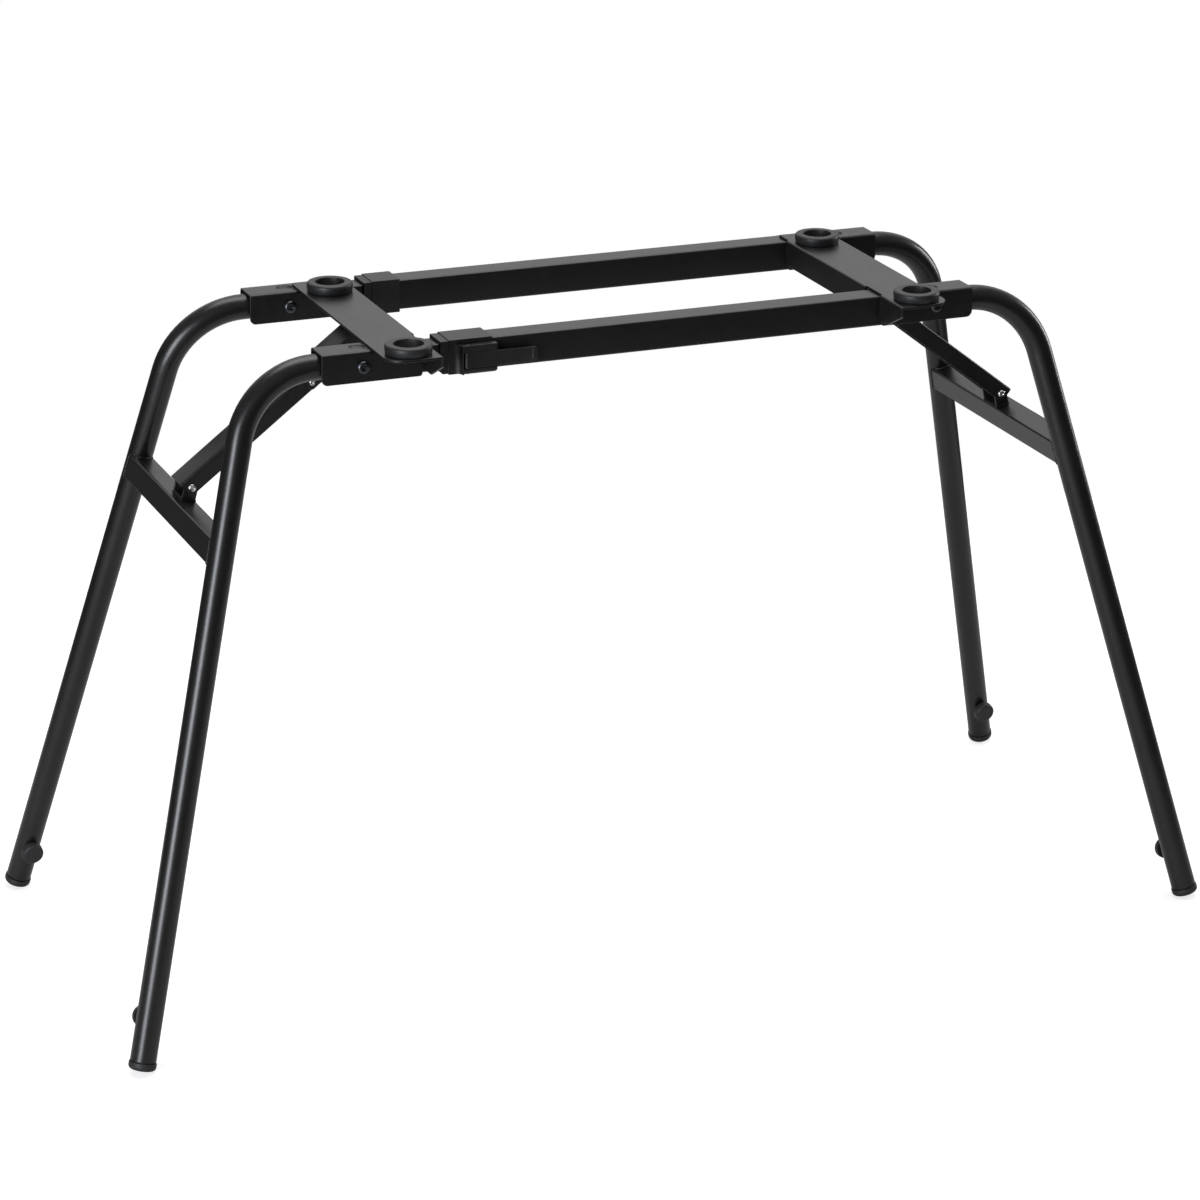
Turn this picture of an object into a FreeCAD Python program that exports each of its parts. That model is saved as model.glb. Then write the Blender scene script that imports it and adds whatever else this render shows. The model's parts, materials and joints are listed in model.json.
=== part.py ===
import FreeCAD, Part
import math
import os
from FreeCAD import Vector

# A folding keyboard stand with a telescoping frame, in millimetres.
# X runs along the keyboard, Y towards the back, Z up. The origin is on the floor under the middle.
# The right half carries the outer rails, and the left half slides in them on smaller inner rails.
# Each pair of legs hinges in two brackets and is held open by a two-link folding brace.

# Frame
pad_top_height = 660.0
rail_half_gauge = 109.0
rail_width = 28.0
rail_height = 30.0
rail_wall = 1.6
rail_corner = 2.2
slide_clearance = 0.3
outer_rail_start = -217.0
rail_overlap_when_open = 80.0
slide_travel = 200.0
rail_seat_length = 25.0
plug_flange_thickness = 2.5
plug_spigot_length = 18.0
plug_wall = 1.6

# Keyboard pads
pad_x = 262.5
pad_front_ahead = 42.5
pad_rear_ahead = 33.5
pad_height = 9.5
pad_diameter = 45.0
pad_bore = 28.5
pad_rounding = 2.2
pad_neck_diameter = 32.5
pad_lip_diameter = 34.0
pad_lip_height = 2.2
pad_chamfer = 0.8

# Cross plates
plate_thickness = 2.5
plate_width = 54.0
plate_rear_margin = 39.5
plate_front_margin = 23.5
plate_front_corner = 19.0
plate_rear_corner = 4.0
web_depth = 26.0
web_stub_flat = 21.0
web_stub_rise = 16.0
notch_margin = 3.0

# Leg brackets
bracket_sheet = 2.0
bracket_outer_end = 338.5
bracket_bend = 3.2
bracket_foot_corner = 6.0
bracket_length = 99.5
dish_radius = 9.5
dish_depth = 1.4

# Legs
pivot_x = 298.0
tube_diameter = 25.0
tube_wall = 1.8
tube_top_gap = 0.5
bend_start_x = 341.0
bend_radius = 80.0
leg_lean = 13.8
leg_splay = 10.95
cap_diameter = 26.6
cap_length = 9.0
cap_rounding = 4.0
cap_spigot = 18.0
cap_spigot_chamfer = 1.8
bumper_height = 48.0
bumper_diameter = 22.0
bumper_thickness = 8.0
bumper_rounding = 3.2
bumper_standoff = 3.0
bumper_stem_diameter = 10.0

# Leg crossbars
crossbar_height = 25.0
crossbar_depth = 24.0
crossbar_wall = 1.6
crossbar_corner = 2.0
crossbar_drop = 161.2

# Hinge hardware of the legs
bolt_diameter = 8.0
bolt_head_diameter = 12.6
bolt_head_height = 4.2
bolt_head_rounding = 2.6
bolt_socket_width = 5.0
bolt_socket_depth = 2.4
nut_width = 13.0
nut_height = 6.5
nut_crown_diameter = 14.6
nut_chamfer = 1.1
bolt_past_nut = 2.0
bushing_diameter = 12.0
running_clearance = 0.1
bushing_side_gap = 0.25

# Folding brace
hanger_pin_x = 259.0
hanger_pin_drop = 17.5
lower_link_length = 152.5
lower_link_width = 32.6
link_sheet = 1.5
link_height = 16.8
link_bend = 2.4
link_corner = 4.2
pin_above_lower_edge = 6.8
link_side_gap = 0.3
hanger_side_gap = 0.4
brace_pin_diameter = 6.0
brace_pin_head_diameter = 9.0
brace_pin_head_height = 2.2
brace_pin_head_rounding = 1.3
knee_ear_end = 6.0
knee_web_gap = 21.0
lower_link_past_knee = 8.0
link_past_clevis = 7.0
link_past_hanger = 5.0
hanger_sheet = 2.0
hanger_length = 34.0
hanger_ear_radius = 7.5
clevis_sheet = 2.0
clevis_length = 14.0
clevis_above_pin = 5.5
clevis_corner = 3.0
clevis_bend = 2.4
clevis_pin_height = 13.7
clevis_pin_inboard = 3.5

# Clamp collars and lever
collar_wall = 2.0
collar_lip_length = 8.2
collar_lip_step = 1.0
front_collar_length = 43.5
rear_collar_length = 29.0
collar_end_wall = 4.0
collar_rounding = 1.0
collar_chamfer = 2.4
lever_housing_start = 12.5
lever_housing_rim = 1.2
lever_shelf_past_collar = 3.0
lever_shelf_depth = 7.3
lever_shelf_thickness = 6.3
lever_shelf_low_thickness = 5.4
lever_shelf_top_drop = 5.0
lever_shelf_bottom_rise = 0.8
lever_shelf_corner = 1.4
lever_shelf_low_corner = 3.0
lever_gap = 0.35
lever_half_depth = 3.6
lever_end_gap = 0.9
lever_pin_diameter = 3.0
lever_root_length = 29.2
lever_paddle_reach = 69.4
lever_paddle_height = 14.0
lever_paddle_thickness = 3.0
lever_paddle_lift = 0.6
lever_rim_width = 4.6
lever_rim_height = 1.0
lever_corner = 2.0
cam_gap = 0.2
cam_offset = 1.9
cam_height = 11.0

# One overrun for every cut that has to pass right through, and how near an edge has to be to be picked out
overrun = 5.0
near = 0.5

# Edges count as parallel from this cosine up.
parallel_share = 0.999

# Levels and lines that the sizes above set
rail_top = pad_top_height - pad_height - plate_thickness
rail_bottom = rail_top - rail_height
rail_middle = rail_top - rail_height / 2
tube_radius = tube_diameter / 2
pivot_z = rail_top - bracket_sheet - tube_top_gap - tube_radius
bracket_width = rail_width + 2 * bracket_sheet
bracket_inner_end = bracket_outer_end - bracket_length
rail_end_x = bracket_inner_end + rail_seat_length
plate_inner_x = pad_x - plate_width / 2
plate_outer_x = pad_x + plate_width / 2
pad_front_y = -rail_half_gauge - pad_front_ahead
pad_rear_y = rail_half_gauge - pad_rear_ahead
plate_rear_y = pad_rear_y + plate_rear_margin
plate_front_y = pad_front_y - plate_front_margin
inner_rail_width = rail_width - 2 * rail_wall - 2 * slide_clearance
inner_rail_height = rail_height - 2 * rail_wall - 2 * slide_clearance
inner_rail_end = outer_rail_start + slide_travel + rail_overlap_when_open
lean = math.radians(leg_lean)
splay = math.radians(leg_splay)
crossbar_lean = math.degrees(math.atan(math.tan(lean) / math.cos(splay)))
upper_link_width = lower_link_width + 2 * link_sheet + 2 * link_side_gap

ACROSS = Vector(0, 1, 0)
ALONG = Vector(1, 0, 0)
UP = Vector(0, 0, 1)


def block(x0, x1, y0, y1, z0, z1):
    corner = Vector(min(x0, x1), min(y0, y1), min(z0, z1))
    return Part.makeBox(abs(x1 - x0), abs(y1 - y0), abs(z1 - z0), corner)


def rod(centre, radius, length, axis):
    """A cylinder whose middle is at the centre given."""
    start = centre - axis * (length / 2)
    return Part.makeCylinder(radius, length, start, axis)


def edges_along(shape, axis, test=None):
    found = []
    for edge in shape.Edges:
        if len(edge.Vertexes) < 2:
            continue
        way = edge.Vertexes[-1].Point - edge.Vertexes[0].Point
        if way.Length == 0:
            continue
        way.normalize()
        if abs(way.dot(axis)) > parallel_share and (test is None or test(edge.CenterOfMass)):
            found.append(edge)
    return found


def rounded(shape, radius, axis, test=None):
    return shape.makeFillet(radius, edges_along(shape, axis, test))


def circles_about(shape, centre):
    """The round edges whose centre is at the point given."""
    found = []
    for edge in shape.Edges:
        if isinstance(edge.Curve, Part.Circle) and (edge.Curve.Center - centre).Length < near:
            found.append(edge)
    return found


def to_left(shape):
    return shape.mirror(Vector(0, 0, 0), ALONG)


def to_rear(shape):
    return shape.mirror(Vector(0, 0, 0), ACROSS)


def both_sides(shape):
    """The same piece for the right and the left half."""
    return {"right": shape, "left": to_left(shape)}


def square_tube(x0, x1, y, z, width, height, wall, corner):
    outer = block(x0, x1, y - width / 2, y + width / 2, z - height / 2, z + height / 2)
    outer = rounded(outer, corner, ALONG)
    bore_half = width / 2 - wall
    bore_rise = height / 2 - wall
    bore = block(x0 - overrun, x1 + overrun, y - bore_half, y + bore_half, z - bore_rise, z + bore_rise)
    if corner > wall:
        bore = rounded(bore, corner - wall, ALONG)
    return outer.cut(bore)


def outer_rail(y):
    return square_tube(outer_rail_start, rail_end_x, y, rail_middle,
                       rail_width, rail_height, rail_wall, rail_corner)


def inner_rail(y):
    return square_tube(-rail_end_x, inner_rail_end, y, rail_middle,
                       inner_rail_width, inner_rail_height, rail_wall, rail_corner)


def inner_rail_plug(y):
    """A plastic plug in the hidden end of an inner rail, with a flange that guides it in the outer rail."""
    flange = block(inner_rail_end, inner_rail_end + plug_flange_thickness,
                   y - inner_rail_width / 2, y + inner_rail_width / 2,
                   rail_middle - inner_rail_height / 2, rail_middle + inner_rail_height / 2)
    flange = rounded(flange, rail_corner, ALONG)
    half = inner_rail_width / 2 - rail_wall
    rise = inner_rail_height / 2 - rail_wall
    spigot = block(inner_rail_end - plug_spigot_length, inner_rail_end, y - half, y + half,
                   rail_middle - rise, rail_middle + rise)
    spigot = rounded(spigot, rail_corner - rail_wall, ALONG)
    hollow = block(inner_rail_end - plug_spigot_length - overrun, inner_rail_end,
                   y - half + plug_wall, y + half - plug_wall,
                   rail_middle - rise + plug_wall, rail_middle + rise - plug_wall)
    return flange.fuse(spigot.cut(hollow)).removeSplitter()


def rail_sleeve(y):
    """The short sleeve that fills the bracket round an inner rail's fixed end."""
    outer = block(-rail_end_x, -bracket_inner_end, y - rail_width / 2, y + rail_width / 2,
                  rail_bottom, rail_top)
    outer = rounded(outer, rail_corner, ALONG)
    bore = block(-rail_end_x - overrun, -bracket_inner_end + overrun,
                 y - inner_rail_width / 2, y + inner_rail_width / 2,
                 rail_middle - inner_rail_height / 2, rail_middle + inner_rail_height / 2)
    bore = rounded(bore, rail_corner, ALONG)
    return outer.cut(bore)


def cross_plate():
    """The right plate: a pad plate on top, and a web bent down along its inner edge."""
    front_arc_x = plate_outer_x - plate_front_corner
    front_arc_y = plate_front_y + plate_front_corner
    rear_arc_x = plate_outer_x - plate_rear_corner
    rear_arc_y = plate_rear_y - plate_rear_corner
    level = rail_top
    half_way = math.sqrt(0.5)
    corners = {
        "inner_front": Vector(plate_inner_x, plate_front_y, level),
        "front_arc_start": Vector(front_arc_x, plate_front_y, level),
        "front_arc_mid": Vector(front_arc_x + plate_front_corner * half_way,
                                front_arc_y - plate_front_corner * half_way, level),
        "front_arc_end": Vector(plate_outer_x, front_arc_y, level),
        "rear_arc_start": Vector(plate_outer_x, rear_arc_y, level),
        "rear_arc_mid": Vector(rear_arc_x + plate_rear_corner * half_way,
                               rear_arc_y + plate_rear_corner * half_way, level),
        "rear_arc_end": Vector(rear_arc_x, plate_rear_y, level),
        "inner_rear": Vector(plate_inner_x, plate_rear_y, level),
    }
    wire = Part.Wire([
        Part.makeLine(corners["inner_front"], corners["front_arc_start"]),
        Part.Arc(corners["front_arc_start"], corners["front_arc_mid"], corners["front_arc_end"]).toShape(),
        Part.makeLine(corners["front_arc_end"], corners["rear_arc_start"]),
        Part.Arc(corners["rear_arc_start"], corners["rear_arc_mid"], corners["rear_arc_end"]).toShape(),
        Part.makeLine(corners["rear_arc_end"], corners["inner_rear"]),
        Part.makeLine(corners["inner_rear"], corners["inner_front"]),
    ])
    plate = Part.Face(wire).extrude(UP * plate_thickness)
    web_bottom = rail_top + plate_thickness - web_depth
    web = block(plate_inner_x, plate_inner_x + plate_thickness, plate_front_y, plate_rear_y,
                web_bottom, rail_top)
    plate = plate.fuse(web).removeSplitter()
    top = rail_top + plate_thickness
    plate = rounded(plate, plate_thickness, ACROSS,
                    lambda c: abs(c.z - top) < near and abs(c.x - plate_inner_x) < near)
    stub_start = -rail_half_gauge - rail_width / 2 - web_stub_flat
    slope = Part.makePolygon([
        Vector(plate_inner_x - overrun, stub_start, web_bottom),
        Vector(plate_inner_x - overrun, plate_front_y, web_bottom + web_stub_rise),
        Vector(plate_inner_x - overrun, plate_front_y - overrun, web_bottom + web_stub_rise),
        Vector(plate_inner_x - overrun, plate_front_y - overrun, web_bottom - overrun),
        Vector(plate_inner_x - overrun, stub_start, web_bottom - overrun),
        Vector(plate_inner_x - overrun, stub_start, web_bottom),
    ])
    plate = plate.cut(Part.Face(slope).extrude(ALONG * (plate_thickness + 2 * overrun)))
    notch_half = rail_width / 2 + notch_margin
    for y in (-rail_half_gauge, rail_half_gauge):
        plate = plate.cut(block(plate_inner_x - overrun, plate_inner_x + plate_thickness + slide_clearance,
                                y - notch_half, y + notch_half, web_bottom - overrun, top + overrun))
    for y in (pad_front_y, pad_rear_y):
        plate = plate.cut(rod(Vector(pad_x, y, rail_top), pad_neck_diameter / 2, 4 * plate_thickness, UP))
    return plate


def pad(y):
    """A rubber ring pad, turned in one piece with the neck and snap lip that hold it in the plate."""
    bore = pad_bore / 2
    rim = pad_diameter / 2
    neck = pad_neck_diameter / 2
    lip = pad_lip_diameter / 2
    seat = rail_top + plate_thickness
    lip_bottom = rail_top - pad_lip_height
    ring = rod(Vector(pad_x, y, seat + pad_height / 2), rim, pad_height, UP)
    ring = ring.cut(rod(Vector(pad_x, y, seat), bore, 4 * pad_height, UP))
    ring = ring.makeFillet(pad_rounding, circles_about(ring, Vector(pad_x, y, pad_top_height)))
    neck_part = rod(Vector(pad_x, y, (seat + rail_top) / 2), neck, plate_thickness, UP)
    lip_part = Part.makeCone(lip - pad_chamfer, lip, pad_lip_height, Vector(pad_x, y, lip_bottom), UP)
    stem = neck_part.fuse(lip_part).cut(rod(Vector(pad_x, y, rail_top), bore, 4 * pad_height, UP))
    return ring.fuse(stem).removeSplitter()


def bracket(y):
    """A channel folded over the leg tube. Its cheeks run on past the web to grip the rail's end."""
    half = bracket_width / 2
    shell = block(bracket_inner_end, bracket_outer_end, y - half, y + half, rail_bottom, rail_top)
    shell = rounded(shell, bracket_bend, ALONG, lambda c: c.z > rail_middle)
    inner = block(bracket_inner_end - overrun, bracket_outer_end + overrun,
                  y - half + bracket_sheet, y + half - bracket_sheet,
                  rail_bottom - overrun, rail_top - bracket_sheet)
    inner = rounded(inner, bracket_bend - bracket_sheet, ALONG, lambda c: c.z > rail_middle)
    shell = shell.cut(inner)
    shell = shell.cut(block(bracket_inner_end - overrun, rail_end_x,
                            y - rail_width / 2, y + rail_width / 2, rail_middle, rail_top + overrun))
    low = rail_bottom + near
    shell = rounded(shell, bracket_foot_corner, ACROSS,
                    lambda c: c.z < low and c.x > bracket_outer_end - bracket_sheet)
    shell = rounded(shell, bracket_foot_corner / 2, ACROSS,
                    lambda c: c.z < low and c.x < bracket_inner_end + bracket_sheet)
    shell = shell.cut(rod(Vector(pivot_x, y, pivot_z), bolt_diameter / 2, 2 * bracket_width, ACROSS))
    ball = (dish_radius ** 2 + dish_depth ** 2) / (2 * dish_depth)
    return shell.cut(Part.makeSphere(ball, Vector(pivot_x, y, rail_top - dish_depth + ball)))


def hexagon(start, width, depth):
    """A hexagonal prism that runs in +Y from the point given."""
    radius = width / math.sqrt(3)
    points = []
    for i in range(7):
        turn = math.radians(60 * i)
        points.append(start + Vector(radius * math.cos(turn), 0, radius * math.sin(turn)))
    return Part.Face(Part.makePolygon(points)).extrude(ACROSS * depth)


def pivot_bolt(y):
    """A dome-headed bolt with a hexagon socket, its head on the front cheek of a bracket."""
    front = y - bracket_width / 2
    back = y + bracket_width / 2 + nut_height + bolt_past_nut
    middle = Vector(pivot_x, (front + back) / 2, pivot_z)
    shank = rod(middle, bolt_diameter / 2, back - front, ACROSS)
    head = rod(Vector(pivot_x, front - bolt_head_height / 2, pivot_z),
               bolt_head_diameter / 2, bolt_head_height, ACROSS)
    crown = Vector(pivot_x, front - bolt_head_height, pivot_z)
    head = head.makeFillet(bolt_head_rounding, circles_about(head, crown))
    socket = hexagon(crown, bolt_socket_width, bolt_socket_depth)
    return shank.fuse(head).removeSplitter().cut(socket)


def pivot_nut(y):
    start = Vector(pivot_x, y + bracket_width / 2, pivot_z)
    nut = hexagon(start, nut_width, nut_height)
    crown = rod(start + ACROSS * (nut_height / 2), nut_crown_diameter / 2, nut_height, ACROSS)
    crown = crown.makeChamfer(nut_chamfer, circles_about(crown, start + ACROSS * nut_height))
    return nut.common(crown).cut(rod(start, bolt_diameter / 2, 4 * nut_height, ACROSS))


def pivot_bushing(y):
    """The sleeve welded across a leg tube, which turns on the bolt."""
    length = bracket_width - 2 * bracket_sheet - 2 * bushing_side_gap
    centre = Vector(pivot_x, y, pivot_z)
    sleeve = rod(centre, bushing_diameter / 2, length, ACROSS)
    return sleeve.cut(rod(centre, bolt_diameter / 2 + running_clearance, 2 * length, ACROSS))


# The leg's tilt from the vertical, and the length of its straight run to the foot cap
tilt = math.acos(math.cos(lean) * math.cos(splay))
bend_turn = 90 - leg_lean
bend_drop = bend_radius * (1 - math.cos(math.radians(bend_turn)))
bend_reach = bend_radius * math.sin(math.radians(bend_turn))
bend_end_z = pivot_z - bend_drop * math.cos(splay)
cap_radius = cap_diameter / 2
tube_end_z = ((cap_length - cap_rounding) * math.cos(tilt)
              + (cap_radius - cap_rounding) * math.sin(tilt) + cap_rounding)
straight_length = (bend_end_z - tube_end_z) / math.cos(tilt)

# Places in the upright plane of a leg, before it is splayed about its top tube
bend_end = Vector(bend_start_x + bend_reach, 0, pivot_z - bend_drop)
down_leg = Vector(math.sin(lean), 0, -math.cos(lean))
tube_end = bend_end + down_leg * straight_length


def splayed(shape):
    """Turns a piece of a front leg about its top tube and moves it to the front rail."""
    turned = shape.copy()
    turned.rotate(Vector(0, 0, pivot_z), ALONG, -leg_splay)
    turned.translate(Vector(0, -rail_half_gauge, 0))
    return turned


def bent_rod(radius):
    """A solid round bar along the leg's path, in its upright plane."""
    start = Vector(pivot_x - tube_radius, 0, pivot_z)
    top = Part.makeCylinder(radius, bend_start_x - start.x, start, ALONG)
    section = Part.Face(Part.Wire(Part.makeCircle(radius, Vector(bend_start_x, 0, pivot_z), ALONG)))
    centre = Vector(bend_start_x, 0, pivot_z - bend_radius)
    bend = section.revolve(centre, ACROSS, bend_turn)
    straight = Part.makeCylinder(radius, straight_length, bend_end, down_leg)
    return top.fuse([bend, straight]).removeSplitter()


def leg_tube():
    """The front right tube. Its top end is rounded about the pivot so that it can turn in the bracket."""
    tube = splayed(bent_rod(tube_radius).cut(bent_rod(tube_radius - tube_wall)))
    pivot = Vector(pivot_x, -rail_half_gauge, pivot_z)
    corners = block(pivot_x - tube_diameter, pivot_x, pivot.y - tube_diameter, pivot.y + tube_diameter,
                    pivot_z - tube_diameter, pivot_z + tube_diameter)
    corners = corners.cut(rod(pivot, tube_radius, 4 * tube_diameter, ACROSS))
    return tube.cut(corners).cut(rod(pivot, bushing_diameter / 2, 4 * tube_diameter, ACROSS))


def foot_cap():
    """A rubber cap with a rounded rim, held by a spigot in the tube."""
    cap = Part.makeCylinder(cap_radius, cap_length, tube_end, down_leg)
    cap = cap.makeFillet(cap_rounding, circles_about(cap, tube_end + down_leg * cap_length))
    spigot = Part.makeCylinder(tube_radius - tube_wall, cap_spigot, tube_end, -down_leg)
    spigot = spigot.makeChamfer(cap_spigot_chamfer, circles_about(spigot, tube_end - down_leg * cap_spigot))
    return splayed(cap.fuse(spigot).removeSplitter())


def bumper():
    """A rubber button on a short stem, on the side of a leg that faces the other leg of its pair."""
    up_leg = (bumper_height - tube_end_z) / math.cos(tilt)
    on_axis = tube_end - down_leg * up_leg
    back = tube_radius + bumper_standoff
    crown = back + bumper_thickness
    button = rod(on_axis + ACROSS * ((back + crown) / 2), bumper_diameter / 2, bumper_thickness, ACROSS)
    button = button.makeFillet(bumper_rounding, circles_about(button, on_axis + ACROSS * crown))
    stem = rod(on_axis + ACROSS * (back / 2), bumper_stem_diameter / 2, back, ACROSS)
    tube = Part.makeCylinder(tube_radius, 2 * bumper_diameter, on_axis - down_leg * bumper_diameter, down_leg)
    return splayed(button.fuse(stem.cut(tube)).removeSplitter())


# The crossbar's middle, on the centre lines of both tubes
crossbar_z = pivot_z - crossbar_drop
down_run = (crossbar_drop / math.cos(splay) - bend_drop) / math.cos(lean)
crossbar_x = bend_end.x + down_leg.x * down_run
crossbar_half_length = rail_half_gauge + crossbar_drop * math.tan(splay)
lean_up = Vector(-math.sin(math.radians(crossbar_lean)), 0, math.cos(math.radians(crossbar_lean)))
lean_in = Vector(-lean_up.z, 0, lean_up.x)


def leaned(shape):
    """Leans a piece drawn upright at the crossbar's middle over with the legs."""
    turned = shape.copy()
    turned.rotate(Vector(0, 0, 0), ACROSS, -crossbar_lean)
    turned.translate(Vector(crossbar_x, 0, crossbar_z))
    return turned


def crossbar():
    """A square tube between the legs, with its ends coped to fit round them."""
    half = crossbar_depth / 2
    rise = crossbar_height / 2
    outer = block(-half, half, -crossbar_half_length, crossbar_half_length, -rise, rise)
    outer = rounded(outer, crossbar_corner, ACROSS)
    bore = block(-half + crossbar_wall, half - crossbar_wall,
                 -crossbar_half_length - overrun, crossbar_half_length + overrun,
                 -rise + crossbar_wall, rise - crossbar_wall)
    bar = leaned(outer.cut(bore))
    front_leg = splayed(bent_rod(tube_radius))
    bar = bar.cut(front_leg.fuse(to_rear(front_leg)))
    return max(bar.Solids, key=lambda s: s.Volume)


# Pins of the folding brace, in the middle plane of the right half
clevis_pin = (Vector(crossbar_x, 0, crossbar_z) + lean_up * (crossbar_height / 2 + clevis_pin_height)
              + lean_in * clevis_pin_inboard)
hanger_pin = Vector(hanger_pin_x, 0, rail_top - hanger_pin_drop)
brace = hanger_pin - clevis_pin
brace_angle = math.degrees(math.atan2(brace.z, -brace.x))
upper_link_length = brace.Length - lower_link_length
knee = clevis_pin + brace * (lower_link_length / brace.Length)


def channel(start, end, width):
    """A channel open below, drawn along X with its pin line on the axis."""
    bottom = -pin_above_lower_edge
    top = bottom + link_height
    shell = block(start, end, -width / 2, width / 2, bottom, top)
    shell = rounded(shell, link_bend, ALONG, lambda c: c.z > 0)
    inner = block(start - overrun, end + overrun, -width / 2 + link_sheet, width / 2 - link_sheet,
                  bottom - overrun, top - link_sheet)
    inner = rounded(inner, link_bend - link_sheet, ALONG, lambda c: c.z > 0)
    return shell.cut(inner)


def eye(shape, x, diameter):
    return shape.cut(rod(Vector(x, 0, 0), diameter / 2, 2 * bracket_width, ACROSS))


def upright(shape):
    """Turns a piece drawn along X, with its web up, onto the brace's rising line."""
    turned = shape.mirror(Vector(0, 0, 0), ALONG)
    turned.rotate(Vector(0, 0, 0), ACROSS, brace_angle)
    return turned


def lower_link():
    """The longer channel, from the clevis to the knee. Its corners are round at both ends."""
    start = -link_past_clevis
    end = lower_link_length + lower_link_past_knee
    link = channel(start, end, lower_link_width)
    link = rounded(link, link_corner, ACROSS,
                   lambda c: c.z < -link_sheet and (c.x < start + link_sheet or c.x > end - link_sheet))
    link = eye(link, 0, brace_pin_diameter + 2 * running_clearance)
    link = eye(link, lower_link_length, brace_pin_diameter + 2 * running_clearance)
    link = upright(link)
    link.translate(clevis_pin)
    return link


def upper_link():
    """The shorter, wider channel. Past its web it has two bare ears that hold the knee."""
    start = -knee_ear_end
    end = upper_link_length + link_past_hanger
    link = channel(start, end, upper_link_width)
    ear_top = pin_above_lower_edge
    link = link.cut(block(start - overrun, knee_web_gap, -upper_link_width, upper_link_width,
                          ear_top, link_height + overrun))
    link = rounded(link, link_corner, ACROSS,
                   lambda c: c.x < start + link_sheet)
    link = rounded(link, link_corner, ACROSS,
                   lambda c: c.z < -link_sheet and c.x > end - link_sheet)
    link = eye(link, 0, brace_pin_diameter)
    link = eye(link, upper_link_length, brace_pin_diameter + 2 * running_clearance)
    link = upright(link)
    link.translate(knee)
    return link


def rivet_head(centre, outward):
    """A domed head on the face at the point given."""
    head = Part.makeCylinder(brace_pin_head_diameter / 2, brace_pin_head_height, centre, outward)
    crown = centre + outward * brace_pin_head_height
    return head.makeFillet(brace_pin_head_rounding, circles_about(head, crown))


def knee_rivets():
    """Two short rivets, one in each ear of the knee."""
    half = upper_link_width / 2
    rivets = []
    for way in (-1, 1):
        outward = ACROSS * way
        shank = Part.makeCylinder(brace_pin_diameter / 2, link_sheet,
                                  knee + outward * (half - link_sheet), outward)
        rivets.append(shank.fuse(rivet_head(knee + outward * half, outward)).removeSplitter())
    return Part.makeCompound(rivets)


def headed_pin(centre, grip):
    """A pin across the brace, with a domed head at each end."""
    pin = rod(centre, brace_pin_diameter / 2, grip, ACROSS)
    for way in (-1, 1):
        pin = pin.fuse(rivet_head(centre + ACROSS * (way * grip / 2), ACROSS * way))
    return pin.removeSplitter()


hanger_inner_width = upper_link_width + 2 * hanger_side_gap
hanger_outer_width = hanger_inner_width + 2 * hanger_sheet
clevis_outer_width = lower_link_width - 2 * link_sheet - 2 * link_side_gap


def hanger():
    """The folded bracket under the cross plate that carries the brace's top pin."""
    half = hanger_outer_width / 2
    low = hanger_pin.z - hanger_ear_radius
    x0 = hanger_pin.x - hanger_length / 2
    x1 = hanger_pin.x + hanger_length / 2
    body = block(x0, x1, -half, half, low, rail_top)
    inner_half = hanger_inner_width / 2
    body = body.cut(block(x0 - overrun, x1 + overrun, -inner_half, inner_half,
                          low - overrun, rail_top - hanger_sheet))
    shoulder = rail_top - 2 * hanger_sheet
    outline = Part.makePolygon([
        Vector(x0, 0, rail_top),
        Vector(x0, 0, shoulder),
        Vector(hanger_pin.x - hanger_ear_radius, 0, hanger_pin.z),
        Vector(hanger_pin.x + hanger_ear_radius, 0, hanger_pin.z),
        Vector(x1, 0, shoulder),
        Vector(x1, 0, rail_top),
        Vector(x0, 0, rail_top),
    ])
    keep = Part.Face(outline).extrude(ACROSS * (2 * half))
    keep.translate(ACROSS * -half)
    keep = keep.fuse(rod(hanger_pin, hanger_ear_radius, 2 * half, ACROSS))
    return body.common(keep).cut(rod(hanger_pin, brace_pin_diameter / 2, 4 * half, ACROSS)).removeSplitter()


def clevis():
    """The small folded bracket on the crossbar that carries the brace's bottom pin."""
    half = clevis_outer_width / 2
    seat = crossbar_height / 2
    pin = Vector(-clevis_pin_inboard, 0, seat + clevis_pin_height)
    top = pin.z + clevis_above_pin
    x0 = pin.x - clevis_length / 2
    x1 = pin.x + clevis_length / 2
    body = rounded(block(x0, x1, -half, half, seat, top), clevis_bend, ALONG, lambda c: c.z < pin.z)
    inner_half = half - clevis_sheet
    inner = block(x0 - overrun, x1 + overrun, -inner_half, inner_half, seat + clevis_sheet, top + overrun)
    inner = rounded(inner, clevis_bend - clevis_sheet, ALONG, lambda c: c.z < pin.z)
    body = rounded(body.cut(inner), clevis_corner, ACROSS, lambda c: c.z > pin.z)
    return leaned(body.cut(rod(pin, brace_pin_diameter / 2, 4 * half, ACROSS)))


# The clamp collars sit on the open ends of the outer rails.
collar_end = outer_rail_start - collar_end_wall
front_face = -rail_half_gauge - rail_width / 2 - collar_wall
collar_top = rail_top + collar_wall
collar_bottom = rail_bottom - collar_wall
shelf_top = collar_top - lever_shelf_top_drop
shelf_bottom = collar_bottom + lever_shelf_bottom_rise
slot_top = shelf_top - lever_shelf_thickness
slot_bottom = shelf_bottom + lever_shelf_low_thickness
shelf_x0 = collar_end + collar_lip_length + lever_housing_start
shelf_x1 = collar_end + collar_lip_length + front_collar_length + lever_shelf_past_collar
lever_x = shelf_x0 + lever_end_gap + lever_half_depth
lever_y = front_face - lever_gap - lever_half_depth
lever_z = (slot_top + slot_bottom) / 2
cam_radius = front_face + collar_wall - cam_gap - lever_y - cam_offset


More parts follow.
